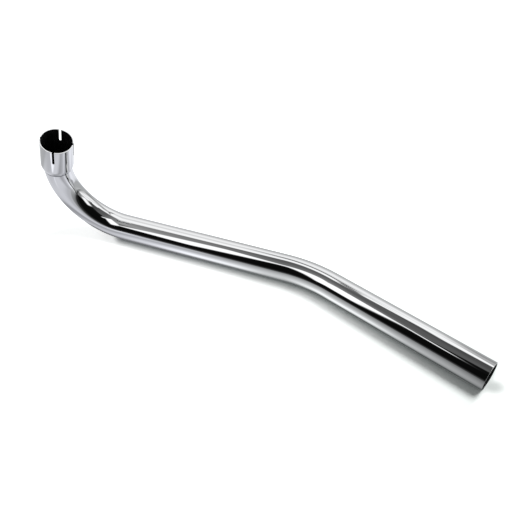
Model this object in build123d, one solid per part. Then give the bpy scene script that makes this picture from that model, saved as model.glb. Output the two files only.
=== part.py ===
from build123d import *
import os

# Exhaust header pipe: one chromed steel tube, bent in two places, whose far end is swollen into a
# slotted socket that clamps over an engine's exhaust stub. It lies on its two straight runs, which
# share one level, and the elbow carries the socket up at one end.
# Millimetres and degrees. +X leaves the plain end, +Z is up, and the floor is at z = 0.

# The tube's stock
tube_od = 44.45
tube_wall = 2.0

# Runs and bends along the centre line, from the plain end to the socket
rear_run = 268.0
offset_bend_radius = 240.0
offset_bend_angle = 20.0
front_run = 297.0
elbow_roll = 81.5
elbow_radius = 98.0
elbow_angle = 101.5

# The swollen neck, where the tube grows to the socket's size and the elbow turns on a little
swell_angle = 6.7
swell_ease = 1.6
swell_sections = 7

# The socket: its bore slides over the stub, and stretching has thinned its wall
stub_od = 48.3
stub_clearance = 0.2
socket_wall = 1.75
socket_depth = 50.0

# The slots that let a clamp close the socket on the stub
slot_count = 4
slot_width = 3.5
slot_length = 26.0
slot_turn = 18.5

# Both cut ends are deburred inside and out, and the bore's solid runs past them to open them
edge_break = 0.3
overrun = 5.0

tube_radius = tube_od / 2
socket_bore_radius = stub_od / 2 + stub_clearance


def along(start, length):
    """The place reached by a straight run. A place's z axis points on along the tube."""
    return start * Pos(0, 0, length)


def around(start, radius, angle):
    """The place reached by a bend whose centre lies on the start's x axis."""
    return start * Pos(radius, 0, 0) * Rot(0, angle, 0) * Pos(-radius, 0, 0)


def straight(start, radius, length):
    """A round solid along a straight run."""
    return start * Cylinder(radius, length, align=(Align.CENTER, Align.CENTER, Align.MIN))


def bend(start, radius, bend_radius, angle):
    """A round solid around a bend."""
    return start * revolve(Circle(radius), Axis((bend_radius, 0, 0), (0, 1, 0)), angle)


def swell(start, start_radius, end_radius):
    """A round solid that leaves the tube at a crease, grows, and eases into the socket's size."""
    sections = []
    for step in range(swell_sections):
        share = step / (swell_sections - 1)
        grown = 1 - (1 - share) ** swell_ease
        radius = start_radius + (end_radius - start_radius) * grown
        sections.append(around(start, elbow_radius, swell_angle * share) * Circle(radius))
    return loft(sections)


# Places along the centre line. At the plain end the x axis points to the offset bend's centre, and
# the roll then turns it to the elbow's centre
plain_end = Plane((0, 0, tube_radius), x_dir=(0, -1, 0), z_dir=(-1, 0, 0)).location
offset_start = along(plain_end, rear_run)
offset_end = around(offset_start, offset_bend_radius, offset_bend_angle)
elbow_start = along(offset_end, front_run) * Rot(0, 0, elbow_roll)
elbow_end = around(elbow_start, elbow_radius, elbow_angle)
socket_start = around(elbow_end, elbow_radius, swell_angle)
mouth = along(socket_start, socket_depth)


def filled_pipe(radius, socket_radius, past_ends):
    """All that one skin of the pipe holds: the outside, or the bore run on past both ends."""
    return (
        straight(along(plain_end, -past_ends), radius, rear_run + past_ends)
        + bend(offset_start, radius, offset_bend_radius, offset_bend_angle)
        + straight(offset_end, radius, front_run)
        + bend(elbow_start, radius, elbow_radius, elbow_angle)
        + swell(elbow_end, radius, socket_radius)
        + straight(socket_start, socket_radius, socket_depth + past_ends)
    )


def slot_cutter(turn):
    """A round-bottomed slot through one side of the socket, open at the mouth."""
    outline = Plane.YZ * SlotOverall(2 * slot_length, slot_width, rotation=90)
    return mouth * Rot(0, 0, turn) * extrude(outline, socket_bore_radius + 2 * socket_wall)


header = filled_pipe(tube_radius, socket_bore_radius + socket_wall, 0)
header -= filled_pipe(tube_radius - tube_wall, socket_bore_radius, overrun)
cut_ends = header.faces().filter_by(GeomType.PLANE)
header = chamfer(cut_ends.edges(), edge_break)
for index in range(slot_count):
    header -= slot_cutter(slot_turn + index * 360 / slot_count)

# The origin is on the floor, under the middle of the pipe's length and width
reach = header.bounding_box()
header = Pos(-reach.center().X, -reach.center().Y, -reach.min.Z) * header

os.makedirs("parts", exist_ok=True)
header.label = "header_pipe"
export_step(header, "parts/header_pipe.step")
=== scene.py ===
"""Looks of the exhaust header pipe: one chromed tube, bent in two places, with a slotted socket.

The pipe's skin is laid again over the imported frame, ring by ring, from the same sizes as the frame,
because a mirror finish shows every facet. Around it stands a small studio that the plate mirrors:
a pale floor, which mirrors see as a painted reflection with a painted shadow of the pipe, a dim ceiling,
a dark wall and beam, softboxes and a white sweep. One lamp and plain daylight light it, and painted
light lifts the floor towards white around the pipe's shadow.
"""

import logging
import math
from dataclasses import dataclass, field, replace
from enum import Enum
from functools import reduce

import bpy
import numpy as np
from mathutils import Matrix, Vector


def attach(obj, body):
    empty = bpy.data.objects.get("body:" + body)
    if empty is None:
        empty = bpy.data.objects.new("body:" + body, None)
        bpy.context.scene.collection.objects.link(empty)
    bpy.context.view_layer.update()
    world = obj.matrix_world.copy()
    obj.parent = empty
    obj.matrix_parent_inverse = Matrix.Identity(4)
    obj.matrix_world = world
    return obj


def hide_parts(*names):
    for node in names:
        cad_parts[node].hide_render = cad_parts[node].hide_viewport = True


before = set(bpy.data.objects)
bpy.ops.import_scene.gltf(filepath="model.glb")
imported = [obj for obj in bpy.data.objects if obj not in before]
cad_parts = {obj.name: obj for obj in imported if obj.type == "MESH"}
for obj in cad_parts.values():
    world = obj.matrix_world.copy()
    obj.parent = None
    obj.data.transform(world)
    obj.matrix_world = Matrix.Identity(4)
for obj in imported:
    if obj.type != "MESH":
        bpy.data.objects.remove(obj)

log = logging.getLogger("header_pipe")

MM = 0.001
UP = Vector((0.0, 0.0, 1.0))

Point = tuple[float, float, float]
Span = tuple[float, float]
Stops = tuple[Span, ...]
Ramp = tuple[float, ...]
Socket = bpy.types.NodeSocket


class Skin(Enum):
    """The two sides of the tube's wall."""

    OUTSIDE = 0
    BORE = 1


class Run(Enum):
    """The stretches of the tube, in order from the plain end to the mouth."""

    REAR = 0
    OFFSET_BEND = 1
    FRONT = 2
    ELBOW = 3
    SWELL = 4
    SOCKET = 5


def add_object(name: str, data: bpy.types.ID) -> bpy.types.Object:
    """Makes an object in the scene."""
    made = bpy.data.objects.new(name, data)
    bpy.context.scene.collection.objects.link(made)
    return made


@dataclass(frozen=True)
class HeaderRoute:
    """The tube's centre line and its wall, in millimetres and degrees, as the frame has them."""

    tube_radius: float = 22.225
    tube_wall: float = 2.0
    rear_run: float = 268.0
    offset_bend_radius: float = 240.0
    offset_bend_angle: float = 20.0
    front_run: float = 297.0
    elbow_roll: float = 81.5
    elbow_radius: float = 98.0
    elbow_angle: float = 101.5
    swell_angle: float = 6.7
    swell_ease: float = 1.6
    crease_blend: float = 0.4
    crease_samples: int = 15
    socket_bore_radius: float = 24.35
    socket_wall: float = 1.75
    socket_depth: float = 50.0
    plain_end_x: float = 369.3337
    plain_end_y: float = 85.4367

    def lengths(self) -> list[float]:
        """Measures the centre line.

        Returns:
            The length of each run, in order.
        """
        return [
            self.rear_run,
            self.offset_bend_radius * math.radians(self.offset_bend_angle),
            self.front_run,
            self.elbow_radius * math.radians(self.elbow_angle),
            self.elbow_radius * math.radians(self.swell_angle),
            self.socket_depth,
        ]

    def start_of(self, run: Run) -> float:
        """How far along the tube a run starts."""
        return sum(self.lengths()[: run.value])

    def total(self) -> float:
        """The tube's whole length."""
        return sum(self.lengths())

    def place(self, along: float) -> Matrix:
        """Finds the place on the centre line a given length from the plain end.

        Args:
            along: Length from the plain end; a little less than 0 or more than the total is fine.

        Returns:
            A matrix whose z axis points on along the tube, and whose x axis keeps to one line of the skin.
        """
        level = (0, 1, 0, self.tube_radius)
        here = Matrix(((0, 0, -1, self.plain_end_x), (-1, 0, 0, self.plain_end_y), level, (0, 0, 0, 1)))
        roll = Matrix.Rotation(math.radians(self.elbow_roll), 4, "Z")
        bends = {
            Run.OFFSET_BEND: self.offset_bend_radius,
            Run.ELBOW: self.elbow_radius,
            Run.SWELL: self.elbow_radius,
        }
        left = along
        rolled = False
        for run, length in zip(Run, self.lengths()):
            if run is Run.ELBOW:
                here, rolled = here @ roll, True
            step = left if run is Run.SOCKET else min(left, length)
            if run in bends:
                radius = bends[run]
                turn = Matrix.Rotation(step / radius, 4, "Y")
                here = here @ Matrix.Translation((radius, 0, 0)) @ turn @ Matrix.Translation((-radius, 0, 0))
            else:
                here = here @ Matrix.Translation((0, 0, step))
            left -= step
            if left <= 0:
                break
        return here if rolled else here @ roll

    def radii(self, skin: Skin) -> Span:
        """The radius of the tube and of the socket on one side of the wall."""
        if skin is Skin.OUTSIDE:
            return self.tube_radius, self.socket_bore_radius + self.socket_wall
        return self.tube_radius - self.tube_wall, self.socket_bore_radius

    def radius(self, along: float, skin: Skin) -> float:
        """The tube's radius a given length from the plain end, with the neck's crease rounded a little.

        Args:
            along: Length from the plain end.
            skin: Which side of the wall.

        Returns:
            The radius.
        """
        small, large = self.radii(skin)
        start = self.start_of(Run.SWELL)
        around = np.linspace(-self.crease_blend, self.crease_blend, self.crease_samples) + along
        share = np.clip((around - start) / (self.start_of(Run.SOCKET) - start), 0, 1)
        return float(np.mean(small + (large - small) * (1 - (1 - share) ** self.swell_ease)))


@dataclass
class SkinMesh:
    """Grows a mesh from grids of points that carry their own true normals.

    Points that fall on one place, to the weld's share of a millimetre, are one point of the mesh.
    """

    weld: int = 2000
    points: list[tuple[float, ...]] = field(default_factory=list)
    normals: list[tuple[float, ...]] = field(default_factory=list)
    lengths: list[float] = field(default_factory=list)
    faces: list[tuple[int, ...]] = field(default_factory=list)
    finishes: list[int] = field(default_factory=list)
    seen: dict[tuple[int, ...], int] = field(default_factory=dict)

    def corner(self, point: np.ndarray, normal: np.ndarray, along: float) -> int:
        """Finds the mesh's point at a place, and makes it if it isn't there yet.

        Args:
            point: The place, in millimetres.
            normal: Its true normal.
            along: Its length along the tube.

        Returns:
            The point's number.
        """
        key = tuple(int(round(c * self.weld)) for c in point)
        if key not in self.seen:
            self.seen[key] = len(self.points)
            self.points.append(tuple(point * MM))
            self.normals.append(tuple(normal))
            self.lengths.append(along * MM)
        return self.seen[key]

    def lay(self, points: np.ndarray, normals: np.ndarray, along: np.ndarray, finish: int) -> None:
        """Lays a grid of four-sided faces, facing the way its normals point.

        Args:
            points: Rows and columns of points in millimetres.
            normals: The true normal at each.
            along: Each point's length along the tube.
            finish: Which of the piece's finishes the faces take.
        """
        rows, columns = points.shape[:2]
        number = [[self.corner(*corner) for corner in zip(*row)] for row in zip(points, normals, along)]
        i, j = rows // 2 - (rows > 1), columns // 2 - (columns > 1)
        facing = np.cross(points[i + 1, j] - points[i, j], points[i, j + 1] - points[i, j]) @ normals[i, j]
        for i in range(rows - 1):
            for j in range(columns - 1):
                face = [number[i][j], number[i + 1][j], number[i + 1][j + 1], number[i][j + 1]]
                if len(set(face)) < 4:
                    continue
                self.faces.append(tuple(face if facing > 0 else face[::-1]))
                self.finishes.append(finish)

    def object(self, name: str, finishes: list[bpy.types.Material]) -> bpy.types.Object:
        """Makes the Blender object, smooth all over, with its true normals and its length along the tube.

        Args:
            name: The piece's name.
            finishes: Its materials, in the order of the faces' finish numbers.

        Returns:
            The new object, in the scene.
        """
        mesh = bpy.data.meshes.new(name)
        mesh.from_pydata(self.points, [], self.faces)
        mesh.polygons.foreach_set("material_index", self.finishes)
        mesh.polygons.foreach_set("use_smooth", [True] * len(self.faces))
        mesh.attributes.new("along", "FLOAT", "POINT").data.foreach_set("value", self.lengths)
        mesh.normals_split_custom_set_from_vertices(self.normals)
        for finish in finishes:
            mesh.materials.append(finish)
        mesh.update()
        return add_object(name, mesh)


@dataclass(frozen=True)
class Rim:
    """The rounded edge that joins the outside to the bore at a cut, seen across the wall."""

    outer: float
    inner: float
    rounding: float
    steps: int = 4

    def profile(self) -> list[tuple[float, float, float, float]]:
        """The edge's line from the outside to the bore.

        Returns:
            For each point: how far it lies in from the cut, its radius, and how much its normal
            points out of the cut and out from the centre line.
        """
        line = []
        for k in range(self.steps + 1):
            turn = math.radians(90 * (1 - k / self.steps))
            back = self.rounding * (1 - math.cos(turn))
            line.append((back, self.outer - self.rounding * (1 - math.sin(turn)), math.cos(turn), math.sin(turn)))
        inside = [(back, self.inner + (self.outer - radius), out, -up) for back, radius, out, up in reversed(line)]
        return line + inside


@dataclass
class TubeWall:
    """The two skins of the tube, from the plain end's edge to where the socket's slots begin.

    The steps are about how far apart the rings stand in each run.
    """

    route: HeaderRoute
    columns: int = 192
    first_column: float = -25.0
    outside_steps: tuple[float, ...] = (7.0, 2.1, 7.0, 1.8, 0.7, 4.0)
    bore_steps: tuple[float, ...] = (14.0, 4.2, 14.0, 3.4, 1.4, 8.0)
    crease_rings: int = 4
    least_step: float = 0.12
    nudge: float = 0.05

    def stations(self, steps: tuple[float, ...], first: float, last: float) -> list[float]:
        """Where the rings stand along the tube.

        Args:
            steps: About how far apart they stand in each run.
            first: Where the first ring stands.
            last: Where the last one stands.

        Returns:
            Their lengths along the tube, in order.
        """
        places = [first]
        for run, length, step in zip(Run, self.route.lengths(), steps):
            start = self.route.start_of(run)
            count = max(1, round(length / step))
            places += [start + length * k / count for k in range(1, count + 1)]
        crease, reach = self.route.start_of(Run.SWELL), self.crease_rings + 1
        places += [crease + self.route.crease_blend * k / self.crease_rings for k in range(-reach, reach + 1)]
        kept = [first]
        for place in sorted(p for p in places if first < p < last):
            if place - kept[-1] > self.least_step:
                kept.append(place)
        return kept + [last]

    def spokes(self, place: np.ndarray) -> tuple[np.ndarray, np.ndarray]:
        """The columns' directions at a place, with the first column repeated at the end.

        Args:
            place: The place on the centre line.

        Returns:
            The directions straight out to each column, and those around the tube there.
        """
        turns = np.radians(self.first_column + 360 * np.arange(self.columns + 1) / self.columns)
        x, y = np.array([1, 0, 0]), np.array([0, 1, 0])
        outward = np.outer(np.cos(turns), x) + np.outer(np.sin(turns), y)
        sideways = np.outer(-np.sin(turns), x) + np.outer(np.cos(turns), y)
        return outward @ place[:3, :3].T, sideways @ place[:3, :3].T

    def points(self, along: float, skin: Skin) -> np.ndarray:
        """The skin's points around the tube, in millimetres, a length from the plain end."""
        place = np.array(self.route.place(along))
        return self.spokes(place)[0] * self.route.radius(along, skin) + place[:3, 3]

    def ring(self, along: float, skin: Skin) -> tuple[np.ndarray, np.ndarray]:
        """One ring of the skin, with its first column repeated at its end.

        Args:
            along: The ring's length from the plain end.
            skin: Which side of the wall.

        Returns:
            The ring's points in millimetres, and their true normals.
        """
        outward, sideways = self.spokes(np.array(self.route.place(along)))
        onward = self.points(along + self.nudge, skin) - self.points(along - self.nudge, skin)
        normals = np.cross(sideways, onward)
        normals /= np.linalg.norm(normals, axis=1, keepdims=True)
        flip = np.sign((normals * outward).sum(1, keepdims=True))
        return self.points(along, skin), normals * (flip if skin is Skin.OUTSIDE else -flip)

    def build(self, mesh: SkinMesh, first: float, last: float) -> None:
        """Lays both skins between two lengths along the tube.

        Args:
            mesh: What they are laid on.
            first: Where they start.
            last: Where they stop.
        """
        for skin, steps in ((Skin.OUTSIDE, self.outside_steps), (Skin.BORE, self.bore_steps)):
            stations = self.stations(steps, first, last)
            points, normals = (np.array(part) for part in zip(*(self.ring(station, skin) for station in stations)))
            along = np.repeat(np.array(stations)[:, None], points.shape[1], axis=1)
            mesh.lay(points, normals, along, skin.value)


@dataclass
class PlainEnd:
    """The square cut end, with both its edges broken."""

    route: HeaderRoute
    wall: TubeWall
    rounding: float = 0.3

    def build(self, mesh: SkinMesh) -> None:
        """Lays the cut edge between the two skins.

        Args:
            mesh: What it is laid on.
        """
        rim = Rim(self.route.radii(Skin.OUTSIDE)[0], self.route.radii(Skin.BORE)[0], self.rounding)
        here = np.array(self.route.place(0.0))
        outward, _ = self.wall.spokes(here)
        out_of_cut = -here[:3, 2]
        points, normals, along = [], [], []
        for back, radius, out, up in rim.profile():
            points.append(here[:3, 3] - out_of_cut * back + outward * radius)
            normals.append(out_of_cut * out + outward * up)
            along.append(np.full(len(outward), back))
        mesh.lay(np.array(points), np.array(normals), np.array(along), Skin.OUTSIDE.value)


def there_and_back(leg: np.ndarray, middle: np.ndarray, sign: float = 1.0) -> np.ndarray:
    """Joins a leg, which ends on the middle's first point, the middle, and the leg back up, times the sign."""
    return np.concatenate([leg[:-1], middle, sign * leg[::-1][1:]])


@dataclass
class SlottedSocket:
    """The socket's open end: four round-bottomed slots, their walls, and the mouth's edge between them."""

    route: HeaderRoute
    wall: TubeWall
    slot_count: int = 4
    slot_width: float = 3.5
    slot_length: float = 26.0
    slot_turn: float = 18.5
    field_depth: float = 31.0
    rounding: float = 0.3
    mouth_back: float = 0.02
    leg_steps: int = 16
    side_steps: int = 14
    leg_bunching: float = 1.35
    border_bunching: float = 1.15
    side_bunching: float = 1.7

    def mouth_place(self) -> np.ndarray:
        """The place at the middle of the mouth."""
        place = np.array(self.route.place(self.route.total()))
        place[:3, 3] -= place[:3, 2] * self.mouth_back
        return place

    def joint(self) -> float:
        """The length along the tube at which the slotted part meets the plain rings, with columns of its own."""
        return self.route.total() - self.mouth_back - self.field_depth

    def arc(self) -> int:
        """How many faces stand across one slot's field."""
        return self.wall.columns // self.slot_count

    def outline(self, inset: float) -> tuple[np.ndarray, np.ndarray, np.ndarray, np.ndarray]:
        """The slot's outline in the socket's wall, from the mouth, down, round and back up.

        Args:
            inset: How far into the metal it is drawn.

        Returns:
            Its points' sideways and downward places, and its normals into the slot, sideways and
            out of the mouth.
        """
        half = self.slot_width / 2 + inset
        middle = self.slot_length - self.slot_width / 2
        leg = inset + (middle - inset) * np.linspace(0, 1, self.leg_steps + 1) ** self.leg_bunching
        turns = np.radians(np.linspace(180, 0, self.arc() + 1))
        side = there_and_back(np.full(len(leg), -half), half * np.cos(turns), -1.0)
        down = there_and_back(leg, middle + half * np.sin(turns))
        into_side = there_and_back(np.ones(len(leg)), -np.cos(turns), -1.0)
        into_up = there_and_back(np.zeros(len(leg)), np.sin(turns))
        return side, down, into_side, into_up

    def border(self, centre: float) -> tuple[np.ndarray, np.ndarray]:
        """The outer line of one slot's field, matching the outline point for point.

        Args:
            centre: The slot's own angle, in degrees.

        Returns:
            The line's angles in degrees, and its depths below the mouth.
        """
        reach, arc = 180 / self.slot_count, self.arc()
        share = np.linspace(0, 1, self.leg_steps + 1) ** self.border_bunching
        depth = self.rounding + (self.field_depth - self.rounding) * share
        turn = np.pad(np.linspace(centre - reach, centre + reach, arc + 1), self.leg_steps, mode="edge")
        return turn, there_and_back(depth, np.full(arc + 1, self.field_depth))

    def field(self, centre: float, radius: float) -> tuple[np.ndarray, np.ndarray]:
        """The grid of one slot's field on one skin.

        Args:
            centre: The slot's own angle, in degrees.
            radius: The skin's radius.

        Returns:
            The grid's angles in degrees and depths, from the slot's edge outwards.
        """
        side, down, _, _ = self.outline(self.rounding)
        inner_turn = centre + np.degrees(np.arcsin(side / radius))
        outer_turn, outer_down = self.border(centre)
        share = self.side_shares()[:, None]
        return inner_turn + (outer_turn - inner_turn) * share, down + (outer_down - down) * share

    def side_shares(self) -> np.ndarray:
        """The shares of the way from a slot to its field's border, bunched up near the slot."""
        return np.linspace(0, 1, self.side_steps + 1) ** self.side_bunching

    def on_skin(self, turn: np.ndarray, down: np.ndarray, radius: float) -> tuple[np.ndarray, np.ndarray]:
        """Puts angles and depths on a skin of the socket.

        Args:
            turn: Angles about the socket's axis, in degrees.
            down: Depths below the mouth.
            radius: The skin's radius.

        Returns:
            The points, and the directions straight out from the axis.
        """
        place = self.mouth_place()
        angle = np.radians(turn)[..., None]
        outward = np.cos(angle) * place[:3, 0] + np.sin(angle) * place[:3, 1]
        return place[:3, 3] - np.asarray(down)[..., None] * place[:3, 2] + outward * radius, outward

    def lay_field(self, mesh: SkinMesh, centre: float) -> None:
        """Lays the skins around one slot.

        Args:
            mesh: What they are laid on.
            centre: The slot's own angle, in degrees.
        """
        for skin in Skin:
            radius = self.route.radii(skin)[1]
            turn, down = self.field(centre, radius)
            points, outward = self.on_skin(turn, down, radius)
            normals = outward if skin is Skin.OUTSIDE else -outward
            mesh.lay(points, normals, self.route.total() - down, skin.value)

    def lay_edges(self, mesh: SkinMesh, centre: float) -> None:
        """Lays one slot's walls, sawn bare, and the mouth's rounded edge on both sides of it, as one band.

        Args:
            mesh: What they are laid on.
            centre: The slot's own angle, in degrees.
        """
        rim = Rim(self.route.radii(Skin.OUTSIDE)[1], self.route.radii(Skin.BORE)[1], self.rounding)
        place = self.mouth_place()
        up = place[:3, 2]
        share = self.side_shares()
        reach = 180 / self.slot_count
        middle = math.radians(centre)
        sideways = -math.sin(middle) * place[:3, 0] + math.cos(middle) * place[:3, 1]
        slot, left, right = ([[], []] for _ in range(3))
        for back, radius, out, rise in rim.profile():
            side, down, into_side, into_up = self.outline(back)
            turn = centre + np.degrees(np.arcsin(side / radius))
            points, outward = self.on_skin(turn, down, radius)
            into = into_side[:, None] * sideways + into_up[:, None] * up
            into[0] = (sideways + up) / math.sqrt(2)
            into[-1] = (-sideways + up) / math.sqrt(2)
            slot[0].append(points)
            slot[1].append(into * out + outward * rise)
            for lip, start, far in ((left, turn[0], centre - reach), (right, turn[-1], centre + reach)):
                points, outward = self.on_skin(start + (far - start) * share, np.full(len(share), back), radius)
                lip[0].append(points)
                lip[1].append(up * out + outward * rise)
        bare = rim.steps
        for band, rows, skin in (
            (slot, slice(None, bare + 1), Skin.OUTSIDE), (slot, slice(bare, None), Skin.BORE),
            (left, slice(None), Skin.OUTSIDE), (right, slice(None), Skin.OUTSIDE),
        ):
            points, normals = np.array(band[0][rows]), np.array(band[1][rows])
            normals /= np.linalg.norm(normals, axis=2, keepdims=True)
            along = self.route.total() + (points - place[:3, 3]) @ up
            mesh.lay(points, normals, along, skin.value)

    def build(self, mesh: SkinMesh) -> None:
        """Lays the whole slotted end.

        Args:
            mesh: What it is laid on.
        """
        centres = [self.slot_turn + 360 * k / self.slot_count for k in range(self.slot_count)]
        for lay_part in (self.lay_edges, self.lay_field):
            for centre in centres:
                lay_part(mesh, centre)


class NodeSheet:
    """A node tree that is written one node at a time."""

    def __init__(self, tree: bpy.types.NodeTree) -> None:
        """Starts on a tree."""
        self.tree = tree

    def put(
        self, kind: str, settings: dict[str, object] | None = None, *values: object, **inputs: object
    ) -> bpy.types.Node:
        """Adds a node.

        Args:
            kind: The node's type.
            settings: Its own settings by name.
            *values: Its first inputs in order; a socket is linked and a value is set.
            **inputs: Other inputs by name, with _ for a space.

        Returns:
            The node.
        """
        node = self.tree.nodes.new(kind)
        for name, value in (settings or {}).items():
            setattr(node, name, value)
        for target, value in zip(node.inputs, values):
            self.feed(target, value)
        for name, value in inputs.items():
            self.feed(node.inputs[name.replace("_", " ")], value)
        return node

    def feed(self, target: Socket, value: object) -> None:
        """Links a socket, or sets a value, at an input.

        Args:
            target: The input.
            value: The socket or the value.
        """
        if isinstance(value, Socket):
            self.tree.links.new(value, target)
        else:
            target.default_value = value

    def surface(self, **inputs: object) -> None:
        """Ends a material with a principled surface."""
        shine = self.put("ShaderNodeBsdfPrincipled", None, **inputs)
        self.put("ShaderNodeOutputMaterial", None, shine.outputs[0])

    def sum(self, operation: str, *values: object, clamp: bool = False) -> Socket:
        """Adds a Math node and returns its result."""
        return self.put("ShaderNodeMath", {"operation": operation, "use_clamp": clamp}, *values).outputs[0]

    def times(self, *factors: object) -> Socket:
        """Multiplies numbers, in order."""
        return reduce(lambda product, factor: self.sum("MULTIPLY", product, factor), factors)

    def rest(self, share: object) -> Socket:
        """What a share leaves of 1."""
        return self.sum("SUBTRACT", 1.0, share)

    def vector(self, operation: str, *values: object) -> Socket:
        """Adds a Vector Math node and returns its result, a number for DOT_PRODUCT and LENGTH."""
        node = self.put("ShaderNodeVectorMath", {"operation": operation}, *values)
        return node.outputs[1 if operation in ("DOT_PRODUCT", "LENGTH") else 0]

    def along(self, where: object, direction: Point | Vector) -> Socket:
        """How far a point lies along a direction."""
        return self.vector("DOT_PRODUCT", where, tuple(direction))

    def mix(self, share: object, first: object, second: object) -> Socket:
        """Mixes two colours.

        Args:
            share: How much of the second there is.
            first: The first colour.
            second: The second colour.

        Returns:
            The mixed colour.
        """
        node = self.put("ShaderNodeMix", {"data_type": "RGBA"}, share)
        for target, value in ((node.inputs[6], first), (node.inputs[7], second)):
            self.feed(target, value)
        return node.outputs[2]

    def between(self, value: object, low: object, high: object, start: object = 0.0, end: object = 1.0) -> Socket:
        """Turns low and high into start and end, smoothly, and holds the value past them."""
        settings = {"interpolation_type": "SMOOTHSTEP"}
        return self.put("ShaderNodeMapRange", settings, value, low, high, start, end).outputs[0]

    def masks(self, *ramps: tuple[Socket, Ramp]) -> Socket:
        """Multiplies smooth changes, each written as its value and its ramp."""
        return self.times(*(self.between(value, *ramp) for value, ramp in ramps))

    def noise(self, where: object, scale: object, detail: float = 2.0, rough: float = 0.5, **inputs: object) -> Socket:
        """Adds a Noise Texture and returns its grey value."""
        return self.put(
            "ShaderNodeTexNoise", None, Vector=where, Scale=scale, Detail=detail, Roughness=rough, **inputs
        ).outputs[0]

    def curve(self, value: object, stops: Stops) -> Socket:
        """Adds a chain that joins stops by straight lines.

        Args:
            value: The number that is looked up.
            stops: Pairs of where and what, in order.

        Returns:
            What the lines give there, held level past both ends.
        """
        result: object = stops[0][1]
        for (low, first), (high, second) in zip(stops, stops[1:]):
            node = self.put("ShaderNodeMapRange", {"clamp": True}, value, low, high, 0.0, second - first)
            result = self.sum("ADD", result, node.outputs[0])
        return result


def grouped(
    name: str, inputs: dict[str, float], outputs: tuple[str, ...]
) -> tuple[NodeSheet, bpy.types.Node, bpy.types.Node]:
    """Starts a shader node group.

    Args:
        name: Its name.
        inputs: Its inputs with their usual values.
        outputs: The names of the numbers that it puts out.

    Returns:
        The group's sheet, its input node and its output node.
    """
    tree = bpy.data.node_groups.new(name, "ShaderNodeTree")
    for label, value in inputs.items():
        tree.interface.new_socket(label, in_out="INPUT", socket_type="NodeSocketFloat").default_value = value
    for label in outputs:
        tree.interface.new_socket(label, in_out="OUTPUT", socket_type="NodeSocketFloat")
    sheet = NodeSheet(tree)
    return sheet, sheet.put("NodeGroupInput"), sheet.put("NodeGroupOutput")


def handled_metal_group() -> bpy.types.NodeTree:
    """Builds the marks that every metal surface of the pipe has: waves, rings left by the polisher, and wipes.

    Returns:
        A group that puts out a Height in millimetres, a Wipe mask and a Cloud mask.
    """
    ring_lines, drift, drift_scale, cloud_scale = 2600.0, 6.0, 9.0, 6.0
    stretch, wiped, clouded = (1.0, 2.2, 1.6), (0.48, 0.72), (0.3, 0.7)
    usual = {"Wave": 0.004, "Wave Size": 14.0, "Rings": 0.0001, "Wipe Scale": 18.0}
    sheet, given, result = grouped("handled_metal", usual, ("Height", "Wipe", "Cloud"))
    where = sheet.put("ShaderNodeTexCoord").outputs["Object"]
    length = sheet.put("ShaderNodeAttribute", {"attribute_name": "along"}).outputs["Fac"]
    wave = sheet.noise(where, sheet.sum("DIVIDE", 1 / MM, given.outputs["Wave Size"]), 1.0, 0.4)
    line = sheet.sum("ADD", sheet.times(length, ring_lines), sheet.times(sheet.noise(where, drift_scale), drift))
    rings = sheet.put("ShaderNodeTexNoise", {"noise_dimensions": "1D"}, W=line, Scale=1.0, Detail=2.0).outputs[0]
    wave, rings = (
        sheet.times(sheet.sum("SUBTRACT", grey, 0.5), given.outputs[name])
        for grey, name in ((wave, "Wave"), (rings, "Rings"))
    )
    stretched = sheet.vector("MULTIPLY", where, stretch)
    wipe = sheet.noise(stretched, given.outputs["Wipe Scale"], 5.0, 0.62, Distortion=0.8)
    sheet.feed(result.inputs["Height"], sheet.sum("ADD", wave, rings))
    sheet.feed(result.inputs["Wipe"], sheet.between(wipe, *wiped))
    sheet.feed(result.inputs["Cloud"], sheet.between(sheet.noise(where, cloud_scale, 3.0), *clouded))
    return sheet.tree


def soft_edge_group() -> bpy.types.NodeTree:
    """Builds the soft-edged rectangle that each card of the studio is cut to.

    Returns:
        A group that puts out a Cover mask from the card's own coordinates in metres.
    """
    steepness, highest_power = 0.25, 30.0
    usual = {"Half Width": 0.3, "Half Height": 0.3, "Edge": 0.1, "Side Edge": 0.1}
    sheet, given, result = grouped("soft_edged_card", usual, ("Cover",))
    axes = sheet.put("ShaderNodeSeparateXYZ", None, sheet.put("ShaderNodeTexCoord").outputs["Object"])
    covers = []
    for axis, half, edge in (("X", "Half Width", "Side Edge"), ("Y", "Half Height", "Edge")):
        past = sheet.sum("SUBTRACT", sheet.sum("ABSOLUTE", axes.outputs[axis]), given.outputs[half])
        power = sheet.sum("DIVIDE", past, sheet.times(given.outputs[edge], steepness))
        grown = sheet.sum("EXPONENT", sheet.sum("MINIMUM", power, highest_power))
        covers.append(sheet.sum("DIVIDE", 1.0, sheet.sum("ADD", grown, 1.0)))
    sheet.feed(result.inputs["Cover"], sheet.times(*covers))
    return sheet.tree


def new_material(name: str) -> tuple[bpy.types.Material, NodeSheet]:
    """Starts an empty material.

    Args:
        name: Its name.

    Returns:
        The material and the sheet of its nodes.
    """
    made = bpy.data.materials.new(name)
    made.use_nodes = True
    made.node_tree.nodes.clear()
    return made, NodeSheet(made.node_tree)


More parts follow.
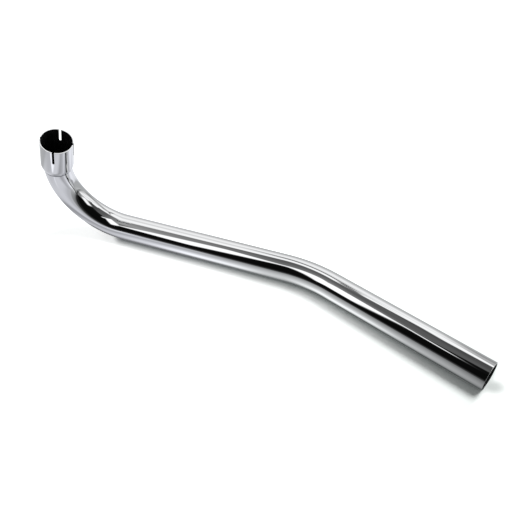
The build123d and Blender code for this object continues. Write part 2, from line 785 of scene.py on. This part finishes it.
@dataclass(frozen=True)
class ChromePlate:
    """Bright chrome plate on polished steel tube."""

    colour: Point = (0.745, 0.75, 0.757)
    clouded: Point = (0.725, 0.732, 0.742)
    roughness: Span = (0.015, 0.03)
    wave: float = 0.006
    wave_size: float = 17.0
    # Painted shade: the plate's colour darkens to this in a band about the neck's crease
    crease: Point = (0.13, 0.135, 0.15)
    crease_shade_reach: Span = (0.3, 1.8)

    def material(self, marks: bpy.types.NodeTree, crease_at: float) -> bpy.types.Material:
        """Makes the plate's material, with painted shade that darkens it in a band about the neck's crease.

        Args:
            marks: The handled metal group.
            crease_at: How far along the tube the neck's crease lies, in millimetres.

        Returns:
            The material.
        """
        made, sheet = new_material("bright_chrome_plate")
        surface = sheet.put("ShaderNodeGroup", {"node_tree": marks}, Wave=self.wave, Wave_Size=self.wave_size)
        bump = sheet.put("ShaderNodeBump", None, Height=surface.outputs["Height"], Distance=MM, Strength=1.0)
        length = sheet.put("ShaderNodeAttribute", {"attribute_name": "along"}).outputs["Fac"]
        # Painted shade: a dark band about the neck's crease, from its distance to crease_at
        gap = sheet.sum("ABSOLUTE", sheet.sum("SUBTRACT", length, crease_at * MM))
        crease_shade = sheet.between(gap, *(reach * MM for reach in self.crease_shade_reach), 1.0, 0.0)
        bright = sheet.mix(surface.outputs["Cloud"], (*self.colour, 1), (*self.clouded, 1))
        sheet.surface(
            Base_Color=sheet.mix(crease_shade, bright, (*self.crease, 1)),
            Metallic=1.0,
            Roughness=sheet.between(surface.outputs["Wipe"], 0.0, 1.0, *self.roughness),
            Normal=bump.outputs[0],
        )
        return made


@dataclass(frozen=True)
class BareBore:
    """The tube's bare inside, matt and dark, that the plate doesn't reach."""

    colour: Point = (0.012, 0.012, 0.013)
    worn: Point = (0.022, 0.021, 0.020)
    metallic: float = 0.35
    roughness: Span = (0.62, 0.78)
    wave: float = 0.02
    wave_size: float = 6.0
    rings: float = 0.004

    def material(self, marks: bpy.types.NodeTree) -> bpy.types.Material:
        """Makes the bore's material.

        Args:
            marks: The handled metal group.

        Returns:
            The material.
        """
        made, sheet = new_material("bare_steel_bore")
        surface = sheet.put(
            "ShaderNodeGroup", {"node_tree": marks}, Wave=self.wave, Wave_Size=self.wave_size, Rings=self.rings
        )
        bump = sheet.put("ShaderNodeBump", None, Height=surface.outputs["Height"], Distance=MM, Strength=1.0)
        sheet.surface(
            Base_Color=sheet.mix(surface.outputs["Wipe"], (*self.colour, 1), (*self.worn, 1)),
            Metallic=self.metallic,
            Roughness=sheet.between(surface.outputs["Cloud"], 0.0, 1.0, *self.roughness),
            Normal=bump.outputs[0],
        )
        return made


@dataclass
class HeaderPipe:
    """The whole pipe: one skin over the tube, the plain end and the slotted socket."""

    name: str = "header_pipe_skin"
    replaced: str = "header_pipe"
    finish_slot: str = "chromed_steel"
    route: HeaderRoute = field(default_factory=HeaderRoute)
    plate: ChromePlate = field(default_factory=ChromePlate)
    bore: BareBore = field(default_factory=BareBore)

    def build(self, marks: bpy.types.NodeTree) -> bpy.types.Object:
        """Builds and dresses the pipe, and lets it stand for the frame's solid.

        Args:
            marks: The handled metal group.

        Returns:
            The pipe's object.
        """
        wall = TubeWall(self.route)
        end = PlainEnd(self.route, wall)
        socket = SlottedSocket(self.route, wall)
        mesh = SkinMesh()
        wall.build(mesh, end.rounding, socket.joint())
        end.build(mesh)
        socket.build(mesh)
        plate = self.plate.material(marks, self.route.start_of(Run.SWELL))
        made = mesh.object(self.name, [plate, self.bore.material(marks)])
        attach(made, "root")
        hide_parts(self.replaced)
        return made


@dataclass(frozen=True)
class StudioCamera:
    """The camera, by the point on the floor that it looks at, in millimetres and degrees."""

    aim: Point = (-39.50, 75.91, 0.0)
    azimuth: float = 40.2908
    elevation: float = 43.564
    distance: float = 1053.0
    focal_pixels: float = 615.53
    image_pixels: float = 520.0
    sensor: float = 36.0
    clip: Span = (0.05, 50.0)

    def toward(self) -> Vector:
        """The level direction from the pipe towards the camera."""
        turn = math.radians(self.azimuth)
        return Vector((math.sin(turn), -math.cos(turn), 0))

    def rightward(self) -> Vector:
        """The level direction across the picture."""
        return UP.cross(self.toward())

    def build(self) -> None:
        """Places the camera and makes it the scene's own."""
        rise = math.radians(self.elevation)
        back = self.toward() * math.cos(rise) + UP * math.sin(rise)
        lens = bpy.data.cameras.new("studio_camera")
        lens.sensor_fit = "HORIZONTAL"
        lens.sensor_width = self.sensor
        lens.lens = self.focal_pixels / self.image_pixels * self.sensor
        lens.clip_start, lens.clip_end = self.clip
        made = add_object(lens.name, lens)
        made.location = (Vector(self.aim) + back * self.distance) * MM
        made.rotation_mode = "QUATERNION"
        made.rotation_quaternion = back.to_track_quat("Z", "Y")
        bpy.context.scene.camera = made


def lay_flat(name: str, half_width: float, half_height: float, finish: bpy.types.Material) -> bpy.types.Object:
    """Makes a flat rectangle about the origin.

    Args:
        name: Its name.
        half_width: Half its width, in metres.
        half_height: Half its height, in metres.
        finish: Its material.

    Returns:
        The object, in the scene.
    """
    mesh = bpy.data.meshes.new(name)
    places = [(x * half_width, y * half_height, 0) for x, y in ((-1, -1), (1, -1), (1, 1), (-1, 1))]
    mesh.from_pydata(places, [], [(0, 1, 2, 3)])
    mesh.materials.append(finish)
    made = add_object(name, mesh)
    return made


@dataclass(frozen=True)
class Card:
    """A soft-edged card of the studio that only mirrors see, in millimetres."""

    name: str
    centre: Point
    half_width: float
    half_height: float
    edge: float
    side_edge: float
    level: float
    fade: Stops = ()
    margin: float = 1.6

    def material(self, soft_edge: bpy.types.NodeTree) -> bpy.types.Material:
        """Makes the card's glow, which may change across its width by the stops of its fade.

        Args:
            soft_edge: The soft edge group.

        Returns:
            The material.
        """
        made, sheet = new_material(self.name)
        cover = sheet.put(
            "ShaderNodeGroup", {"node_tree": soft_edge},
            Half_Width=self.half_width * MM, Half_Height=self.half_height * MM,
            Edge=self.edge * MM, Side_Edge=self.side_edge * MM,
        )
        glow: object = (self.level, self.level, self.level, 1)
        if self.fade:
            axes = sheet.put("ShaderNodeSeparateXYZ", None, sheet.put("ShaderNodeTexCoord").outputs["Object"])
            glow = sheet.curve(axes.outputs["X"], tuple((across * MM, level) for across, level in self.fade))
        sheet.surface(
            Base_Color=(0, 0, 0, 1), Roughness=1.0, Specular_IOR_Level=0.0,
            Emission_Color=glow, Emission_Strength=1.0, Alpha=cover.outputs["Cover"],
        )
        made.cycles.emission_sampling = "NONE"
        return made

    def build(self, across: Vector, upward: Vector, soft_edge: bpy.types.NodeTree) -> None:
        """Stands the card in the studio.

        Args:
            across: The direction of its width.
            upward: The direction of its height.
            soft_edge: The soft edge group.
        """
        wide = (self.half_width + self.side_edge * self.margin) * MM
        high = (self.half_height + self.edge * self.margin) * MM
        made = lay_flat(self.name, wide, high, self.material(soft_edge))
        turned = Matrix((across, upward, across.cross(upward))).transposed().to_4x4()
        made.matrix_world = Matrix.Translation(Vector(self.centre) * MM) @ turned
        for rays in ("camera", "diffuse", "transmission", "volume_scatter", "shadow"):
            setattr(made, f"visible_{rays}", False)


StandingCard = tuple[Card, Vector, Vector]


@dataclass(frozen=True)
class MirrorCards:
    """All the cards that the plate mirrors, each with the directions of its width and height."""

    camera: StudioCamera
    ceiling_height: float = 936.0
    ceiling_turn: float = -0.086
    ceiling_fade: Stops = (
        (-1358, 0.65), (-1008, 0.415), (-758, 0.292), (-508, 0.234), (-258, 0.13), (-8, 0.125), (92, 0.1),
        (242, 0.085), (442, 0.09), (542, 0.06), (742, 0.07), (1000, 0.3),
    )
    seams_rise: float = 840.0
    wall_place: Point = (-394.4, 656.4, 1260.2)
    beam_place: Point = (0.0, 540.0, 956.0)
    left_aim: Point = (0.0, 0.0, 30.0)
    left_twist: float = 0.113
    tip_offset: Point = (-205.0, 262.0, 4.0)
    right_aim: Point = (-200.0, -40.0, 60.0)
    right_twist: float = 0.829

    def ceiling(self) -> list[StandingCard]:
        """The dim ceiling, whose back edge the plate shows as a crisp line, a gap in it, and the seams behind it.

        Returns:
            The cards. Each is first written by its place across, behind and above the ceiling.
        """
        seams = self.seams_rise
        strips = (
            (Card("dim_ceiling", (158.0, 7.5, 0.0), 1142.0, 347.5, 26.0, 200.0, 0.1, self.ceiling_fade), 0.0),
            (Card("ceiling_gap", (658.0, 505.0, -4.0), 238.0, 255.0, 34.0, 60.0, 1.24), 0.0),
            (Card("near_seam", (285.0, 1345.0, seams), 220.0, 125.0, 50.0, 60.0, 0.03), -1.0),
            (Card("step_seam", (190.0, 930.0, seams), 220.0, 60.0, 40.0, 60.0, 0.16), 0.9),
            (Card("faint_seam", (220.0, 1760.0, seams), 130.0, 150.0, 90.0, 90.0, 0.36), 0.0),
        )
        right, toward = self.camera.rightward(), self.camera.toward()
        across = right * math.cos(self.ceiling_turn) + toward * math.sin(self.ceiling_turn)
        onward = UP.cross(across)
        listed = []
        for card, turn in strips:
            u, v, rise = card.centre
            centre = across * u + onward * v + UP * (self.ceiling_height + rise)
            wide = across * math.cos(turn) + onward * math.sin(turn)
            listed.append((replace(card, centre=tuple(centre)), wide, UP.cross(wide)))
        return listed

    def walls(self) -> list[StandingCard]:
        """The dark wall and beam on the camera's side, placed rightward, toward the camera and up.

        Returns:
            The cards.
        """
        toward, right = self.camera.toward(), self.camera.rightward()
        wall, beam = (
            tuple(right * u + toward * v + UP * w) for u, v, w in (self.wall_place, self.beam_place)
        )
        return [
            (Card("dark_wall", wall, 1972.6, 1239.8, 110.0, 130.0, 0.004), right, UP),
            (Card("dark_beam", beam, 1600.0, 230.0, 30.0, 60.0, 0.006), right, -toward),
        ]

    def softboxes(self) -> list[StandingCard]:
        """The two softboxes, aimed at the pipe and twisted, and the tip beside the left one.

        Returns:
            The cards.
        """
        left = Card("left_softbox", (-223.6, -598.0, 723.2), 148.0, 293.8, 40.0, 40.0, 1.4)
        right = Card("right_softbox", (444.0, 233.0, 472.6), 230.0, 128.3, 60.0, 60.0, 1.3)
        listed = []
        for card, aim, twist in ((left, self.left_aim, self.left_twist), (right, self.right_aim, self.right_twist)):
            normal = (Vector(aim) - Vector(card.centre)).normalized()
            level = UP.cross(normal).normalized()
            across = level * math.cos(twist) + normal.cross(level) * math.sin(twist)
            listed.append((card, across, normal.cross(across)))
        _, across, upward = listed[0]
        u, v, rise = self.tip_offset
        tip = Vector(left.centre) + across * u + upward * v + across.cross(upward) * rise
        return listed + [(Card("softbox_tip", tuple(tip), 115.0, 48.0, 30.0, 60.0, 1.2), across, upward)]

    def build(self, soft_edge: bpy.types.NodeTree) -> int:
        """Stands all the cards.

        Args:
            soft_edge: The soft edge group.

        Returns:
            How many there are.
        """
        cards = self.ceiling() + self.walls() + self.softboxes()
        for card, across, upward in cards:
            card.build(across, upward, soft_edge)
        return len(cards)


@dataclass(frozen=True)
class FloorSpot:
    """A point of the floor as its material sees it, in metres.

    Where it lies, how far behind the front run's line, from the socket's foot, and from the pipe's line
    on the plan, without and with the low part of the elbow.
    """

    sheet: NodeSheet
    where: Socket
    x: Socket
    y: Socket
    behind: Socket
    off_foot: Socket
    from_foot: Socket
    from_runs: Socket
    from_pipe: Socket


@dataclass(frozen=True)
class PaleFloor:
    """White paper that keeps the pipe's shadow, narrowed by painted light. Mirrors see a painted reflection of it
    instead, with a painted shadow of the pipe close to it, that falls off away from the pipe.

    All places are in metres. A ramp is where a smooth change starts and ends, and its levels there, if they
    aren't 0 and 1.
    """

    camera: StudioCamera
    route: HeaderRoute
    colour: Point = (0.915, 0.965, 0.945)
    grain: float = 0.985
    grain_scale: float = 260.0
    grain_edge: Ramp = (0.3, 0.7)
    reach: float = 8.0
    drop: float = 0.0001
    low_elbow: float = 70.0
    foot: Point = (-0.323, -0.081, 0.0)
    # Painted light that the camera sees: the paper lifted towards white by distance from the pipe, more towards the
    # front run, which narrows the pipe's shadow, and past the plain end all round a lobe of shadow
    rear_lift: Stops = ((0.025, 0.0), (0.042, 0.26), (0.06, 0.3))
    front_lift: Stops = ((0.0115, 0.0), (0.014, 0.08), (0.018, 0.22), (0.023, 0.53), (0.026, 0.61), (0.04, 0.43))
    lift_along: Span = (0.36, -0.1)
    end_shade: Point = (0.378, 0.091, 0.0)
    end_depth: float = 1.4
    end_lift: Ramp = (0.366, 0.378, 0.0, 0.5)
    end_reach: Ramp = (0.004, 0.027)
    # The tints of the floor's painted reflection, greener under the pipe where its painted shadow lies, bluer about
    # the socket's foot
    far_tint: Point = (0.975, 0.992, 1.0)
    under_tint: Point = (0.93, 0.995, 1.0)
    under_edge: Ramp = (0.015, 0.03)
    foot_tint: Point = (0.958, 0.968, 1.03)
    foot_edge: Ramp = (0.12, 0.4, 1.0, 0.0)
    # The floor's painted reflection close to the pipe, dark with the pipe's painted shadow, and how much of it is kept
    # along the pipe's front side
    near: Stops = (
        (0.0, 0.11), (0.01, 0.14), (0.0123, 0.153), (0.0147, 0.188), (0.0173, 0.25), (0.0205, 0.36), (0.024, 0.52),
        (0.028, 0.7), (0.035, 0.8), (0.045, 0.8), (0.063, 0.68), (0.111, 0.51), (0.2, 0.4), (0.3, 0.32), (0.45, 0.2),
        (0.6, 0.15), (0.8, 0.08),
    )
    under_kept: Stops = (
        (-0.29, 0.85), (-0.25, 1.1), (-0.2, 1.08), (-0.1, 1.0), (0.03, 1.0), (0.085, 0.75), (0.125, 0.64),
        (0.185, 0.62), (0.245, 0.57), (0.315, 0.37), (0.37, 0.5),
    )
    beside_kept: Stops = (
        (-0.33, 0.7), (-0.27, 0.76), (-0.22, 0.9), (-0.14, 1.0), (0.03, 1.0), (0.085, 0.97), (0.125, 0.9),
        (0.185, 0.85), (0.245, 0.77), (0.315, 0.64), (0.365, 0.5),
    )
    beside_edge: Span = (0.017, 0.026)
    front_edge: Ramp = (0.065, 0.095, 1.0, 0.0)
    # Painted shade just behind the front run, what is kept past it, and the clear, brighter painted floor behind the
    # elbow
    gloom_start: Ramp = (0.002, 0.01)
    gloom_end: Ramp = (0.028, 0.042, 1.0, 0.0)
    gloom_along: Ramp = (-0.09, -0.02, 0.95, 0.0)
    behind_kept: Stops = ((-0.25, 0.52), (-0.1, 0.68), (0.0, 0.76), (0.08, 1.0))
    behind_edge: Span = (0.02, 0.05)
    clear: Stops = (
        (0.028, 0.3), (0.045, 0.52), (0.058, 0.8), (0.07, 0.95), (0.085, 1.1), (0.135, 1.1), (0.17, 0.98), (0.23, 0.9),
    )
    clear_start: Ramp = (0.026, 0.036)
    clear_end: Ramp = (0.17, 0.24, 1.0, 0.0)
    clear_along: Ramp = (-0.25, -0.19, 1.0, 0.0)
    clear_left: Ramp = (-0.36, -0.3, 0.74, 1.0)
    # The painted highlight band beside the pipe
    glow_band: Stops = (
        (0.021, 0.0), (0.0245, 0.5), (0.028, 0.9), (0.033, 1.0), (0.038, 0.9), (0.045, 0.4), (0.07, 0.0),
    )
    glow_along: Stops = (
        (-0.3, 0.15), (-0.208, 0.25), (-0.124, 0.6), (-0.049, 0.45), (0.0, 0.05), (0.03, 0.0), (0.06, 0.35),
        (0.085, 0.6), (0.125, 0.65), (0.185, 0.5), (0.245, 0.1), (0.3, 0.0),
    )
    # The far floor's painted reflection: behind the pipe, a painted pool of light around the socket's foot, and a
    # painted bright streak to one side
    back: Stops = ((-0.05, 0.53), (0.05, 0.6), (0.28, 0.65), (0.36, 0.32))
    back_depth: Span = (-0.15, 0.0)
    back_glow: Ramp = (0.07, 0.15, 0.5, 1.0)
    left_glow: Ramp = (-0.1, 0.05, 0.78, 1.0)
    front_glow: Ramp = (0.1, 0.18, 0.82, 0.62)
    glow_depth: Span = (-0.2, -0.05)
    glow_reach: Ramp = (0.22, 0.36, 1.0, 0.0)
    streak_heading: float = -88.0
    streak_spread: Ramp = (0.2, 0.36, 1.3, 0.0)
    streak_start: Ramp = (0.085, 0.135)
    streak_end: Ramp = (0.24, 0.32, 1.0, 0.0)
    far_edge: Ramp = (0.05, 0.12)

    def distances(self, sheet: NodeSheet, where: Socket) -> list[Socket]:
        """How far a point of the floor lies from the pipe's line on the plan.

        Args:
            sheet: Where the nodes go.
            where: The point.

        Returns:
            The distance from the line's first stretch, then from the first two, and so on. The stretches are
            the rear run, two halves of the offset bend, the front run and the low part of the elbow.
        """
        bend, front, elbow = (self.route.start_of(run) for run in (Run.OFFSET_BEND, Run.FRONT, Run.ELBOW))
        marks = (0.0, bend, (bend + front) / 2, front, elbow, elbow + self.low_elbow)
        nearest: list[Socket] = []
        for lengths in zip(marks, marks[1:]):
            start, end = (self.route.place(length).translation.xy.to_3d() * MM for length in lengths)
            run = end - start
            offset = sheet.vector("SUBTRACT", where, tuple(start))
            share = sheet.sum("DIVIDE", sheet.along(offset, run), run.length_squared, clamp=True)
            on_line = sheet.put("ShaderNodeVectorMath", {"operation": "SCALE"}, tuple(run), Scale=share)
            gap = sheet.vector("LENGTH", sheet.vector("SUBTRACT", offset, on_line.outputs[0]))
            nearest.append(sheet.sum("MINIMUM", nearest[-1], gap) if nearest else gap)
        return nearest

    def spot(self, sheet: NodeSheet) -> FloorSpot:
        """Reads the shaded point and measures where it lies.

        Args:
            sheet: Where the nodes go.

        Returns:
            The point.
        """
        where = sheet.put("ShaderNodeNewGeometry").outputs["Position"]
        axes = sheet.put("ShaderNodeSeparateXYZ", None, where)
        front = self.route.place(self.route.start_of(Run.FRONT))
        off_line = sheet.vector("SUBTRACT", where, tuple(front.translation * MM))
        behind = sheet.along(off_line, front.to_3x3().col[2].cross(UP))
        off_foot = sheet.vector("SUBTRACT", where, self.foot)
        from_foot = sheet.vector("LENGTH", off_foot)
        from_runs, from_pipe = self.distances(sheet, where)[-2:]
        return FloorSpot(
            sheet, where, axes.outputs["X"], axes.outputs["Y"], behind, off_foot, from_foot, from_runs, from_pipe
        )

    def close_level(self, spot: FloorSpot) -> Socket:
        """How bright mirrors see the floor close to the pipe: a painted reflection, dark with the pipe's painted
        shadow, with painted shade behind the front run and a painted highlight band.

        Args:
            spot: The point.

        Returns:
            The level.
        """
        sheet = spot.sheet
        under, beside = (sheet.curve(spot.x, stops) for stops in (self.under_kept, self.beside_kept))
        lost = sheet.rest(sheet.between(spot.from_pipe, *self.beside_edge, under, beside))
        kept = sheet.rest(sheet.times(lost, sheet.between(spot.y, *self.front_edge)))
        # Painted shade just behind the front run
        gloom = sheet.masks(
            (spot.behind, self.gloom_start), (spot.behind, self.gloom_end), (spot.x, self.gloom_along)
        )
        past = sheet.between(spot.behind, *self.behind_edge, 1.0, sheet.curve(spot.x, self.behind_kept))
        # The pipe's painted shadow in the floor's reflection, dark close to the pipe
        near = sheet.times(sheet.curve(spot.from_pipe, self.near), kept, sheet.rest(gloom), past)
        zone = sheet.masks(
            (spot.behind, self.clear_start), (spot.x, self.clear_along), (spot.behind, self.clear_end)
        )
        clear = sheet.times(sheet.curve(spot.behind, self.clear), sheet.between(spot.x, *self.clear_left))
        # Painted highlight band beside the pipe
        band = sheet.times(sheet.curve(spot.from_pipe, self.glow_band), sheet.curve(spot.x, self.glow_along))
        return sheet.sum("ADD", sheet.between(zone, 0.0, 1.0, near, clear), band)

    def far_level(self, spot: FloorSpot) -> Socket:
        """How bright mirrors see the floor farther off: a painted reflection, with a painted pool of light around the
        socket's foot and a painted bright streak.

        Args:
            spot: The point.

        Returns:
            The level.
        """
        sheet = spot.sheet
        depth = sheet.along(spot.where, self.camera.toward())
        back = sheet.between(depth, *self.back_depth, sheet.curve(spot.x, self.back), 0.0)
        rightward = sheet.along(spot.off_foot, self.camera.rightward())
        back_glow = sheet.masks((spot.from_pipe, self.back_glow), (rightward, self.left_glow))
        glow = sheet.between(depth, *self.glow_depth, back_glow, sheet.between(spot.from_foot, *self.front_glow))
        # Painted pool of light around the socket's foot
        around = sheet.times(sheet.between(spot.from_foot, *self.glow_reach), glow)
        heading = Matrix.Rotation(math.radians(self.streak_heading), 3, "Z")
        onward = sheet.along(spot.off_foot, heading.col[0])
        aside = sheet.sum("ABSOLUTE", sheet.along(spot.off_foot, heading.col[1]))
        spread = sheet.sum("DIVIDE", aside, sheet.sum("MAXIMUM", onward, MM))
        # Painted bright streak on the floor, to one side of the socket's foot
        streak = sheet.masks((spread, self.streak_spread), (onward, self.streak_start), (onward, self.streak_end))
        wide = sheet.sum("MAXIMUM", sheet.sum("MAXIMUM", back, around), streak)
        return sheet.times(wide, sheet.between(spot.from_pipe, *self.far_edge))

    def shadow_lift(self, spot: FloorSpot) -> Socket:
        """How much painted light lifts the paper towards white around the pipe's shadow, least beside the plain end.

        Args:
            spot: The point.

        Returns:
            The level.
        """
        sheet = spot.sheet
        share = sheet.put("ShaderNodeMapRange", None, spot.x, *self.lift_along).outputs[0]
        front = sheet.times(sheet.curve(spot.from_runs, self.front_lift), share)
        beside = sheet.sum("ADD", sheet.curve(spot.from_runs, self.rear_lift), front)
        off_end = sheet.vector("SUBTRACT", spot.where, self.end_shade)
        across = sheet.along(off_end, self.camera.rightward())
        deep = sheet.times(sheet.along(off_end, self.camera.toward()), self.end_depth)
        squares = (sheet.sum("POWER", side, 2.0) for side in (across, deep))
        reach = sheet.sum("SQRT", sheet.sum("ADD", *squares))
        # Past the plain end, painted light whitens the paper all round a lobe of shadow about end_shade
        past_end = sheet.between(spot.x, *self.end_lift)
        return sheet.sum("ADD", beside, sheet.times(past_end, sheet.between(reach, *self.end_reach)))

    def material(self) -> bpy.types.Material:
        """Makes the floor's material: paper for the camera and the light, lifted by painted light around the pipe's
        shadow, and for mirrors a painted reflection that glows.

        Returns:
            The material.
        """
        made, sheet = new_material("pale_floor")
        spot = self.spot(sheet)
        grain = sheet.between(sheet.noise(spot.where, self.grain_scale, 3.0), *self.grain_edge)
        paper = sheet.mix(grain, (*self.colour, 1), (*(part * self.grain for part in self.colour), 1))
        path = sheet.put("ShaderNodeLightPath")
        # Painted light: only camera rays see the paper lifted towards white around the pipe's shadow
        lift = sheet.times(path.outputs["Is Camera Ray"], self.shadow_lift(spot))
        matt = sheet.put("ShaderNodeBsdfDiffuse", None, Color=paper)
        white = sheet.put("ShaderNodeEmission", None, Strength=lift)
        seen = sheet.put("ShaderNodeAddShader", None, matt.outputs[0], white.outputs[0])
        tint = sheet.mix(sheet.between(spot.from_pipe, *self.under_edge), (*self.under_tint, 1), (*self.far_tint, 1))
        tint = sheet.mix(sheet.between(spot.from_foot, *self.foot_edge), tint, (*self.foot_tint, 1))
        level = sheet.sum("MAXIMUM", self.close_level(spot), self.far_level(spot))
        # Painted reflection: mirrors see this glow in place of the lit paper
        shown = sheet.put("ShaderNodeEmission", None, Color=tint, Strength=level)
        mirrored = sheet.sum("MAXIMUM", path.outputs["Is Glossy Ray"], path.outputs["Is Transmission Ray"])
        chosen = sheet.put("ShaderNodeMixShader", None, mirrored, seen.outputs[0], shown.outputs[0])
        sheet.put("ShaderNodeOutputMaterial", None, chosen.outputs[0])
        made.cycles.emission_sampling = "NONE"
        return made

    def build(self) -> None:
        """Lays the floor just under the pipe."""
        made = lay_flat("pale_floor", self.reach, self.reach, self.material())
        made.location.z = -self.drop


@dataclass(frozen=True)
class StudioWorld:
    """Plain daylight, white behind everything, and a white sweep where mirrors look.

    The sweep's levels go by how many degrees a direction leans back from the zenith, away from the camera.
    """

    daylight: float = 0.27
    sweep: Stops = (
        (-60, 0.24), (0, 0.6), (12, 1.04), (20, 1.2), (28, 1.24), (35, 1.0), (41, 0.8), (48, 1.04), (57, 1.17),
        (67, 0.976), (77, 0.736), (87, 0.6), (97, 0.52), (108, 0.552), (118, 0.544), (130, 0.536),
    )
    sideways: Ramp = (-1.0, 1.0, 1.0, 1.071)
    dusk_start: Ramp = (-0.2, -0.11, 0.0, 0.54)
    dusk_end: Ramp = (0.0, 0.2, 1.0, 0.0)
    dusk_lean: Ramp = (14.0, 42.0)

    def build(self, camera: StudioCamera) -> None:
        """Makes the world and its nodes.

        Args:
            camera: The camera that the sweep stands opposite.
        """
        world = bpy.data.worlds.new("studio_world")
        bpy.context.scene.world = world
        world.use_nodes = True
        world.node_tree.nodes.clear()
        world.cycles.sampling_method = "NONE"
        sheet = NodeSheet(world.node_tree)
        where = sheet.put("ShaderNodeTexCoord").outputs["Generated"]
        backward, height, rightward, plus_x = (
            sheet.along(where, way) for way in (-camera.toward(), UP, camera.rightward(), (1.0, 0.0, 0.0))
        )
        lean = sheet.sum("DEGREES", sheet.sum("ARCTAN2", backward, height))
        dusk = sheet.masks((plus_x, self.dusk_start), (plus_x, self.dusk_end), (lean, self.dusk_lean))
        swept = sheet.times(sheet.curve(lean, self.sweep), sheet.between(rightward, *self.sideways))
        mirrored = sheet.times(swept, sheet.rest(dusk))
        path = sheet.put("ShaderNodeLightPath")
        seen = sheet.sum("MAXIMUM", path.outputs["Is Camera Ray"], path.outputs["Is Transmission Ray"])
        level = sheet.sum("ADD", self.daylight, sheet.times(seen, 1.0 - self.daylight))
        reflected = sheet.times(path.outputs["Is Glossy Ray"], sheet.sum("SUBTRACT", mirrored, level))
        shine = sheet.put("ShaderNodeBackground", None, (1, 1, 1, 1), sheet.sum("ADD", level, reflected))
        sheet.put("ShaderNodeOutputWorld", None, shine.outputs[0])


@dataclass(frozen=True)
class KeyLamp:
    """One broad, even light overhead, a little behind the pipe, that casts its soft shadow, in degrees."""

    level: float = 0.54
    spread: float = 25.0
    lean: float = 22.3
    heading: float = 60.0

    def build(self) -> None:
        """Hangs the lamp."""
        lamp = bpy.data.lights.new("overhead_key", "SUN")
        lean, heading = math.radians(self.lean), math.radians(self.heading)
        lamp.energy = math.pi * self.level / math.cos(lean)
        lamp.angle = math.radians(self.spread)
        made = add_object(lamp.name, lamp)
        made.location = (math.sin(lean) * math.cos(heading), math.sin(lean) * math.sin(heading), math.cos(lean))
        made.rotation_mode = "QUATERNION"
        made.rotation_quaternion = made.location.to_track_quat("Z", "Y")
        made.visible_glossy = False
        made.visible_camera = False


def main() -> None:
    """Builds the pipe, then the camera and the studio, and reports each."""
    logging.basicConfig(level=logging.INFO, format="%(name)s: %(message)s")
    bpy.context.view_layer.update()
    pipe = HeaderPipe()
    made = pipe.build(handled_metal_group())
    log.info("%s: %d points, %d faces", made.name, len(made.data.vertices), len(made.data.polygons))
    camera = StudioCamera()
    camera.build()
    log.info("camera: %.0f mm from where it looks", camera.distance)
    StudioWorld().build(camera)
    KeyLamp().build()
    log.info("light: daylight and one lamp")
    PaleFloor(camera, pipe.route).build()
    log.info("floor: laid")
    log.info("cards: %d", MirrorCards(camera).build(soft_edge_group()))
    bpy.context.scene.view_settings.view_transform = "Standard"


if __name__ == "__main__":
    main()
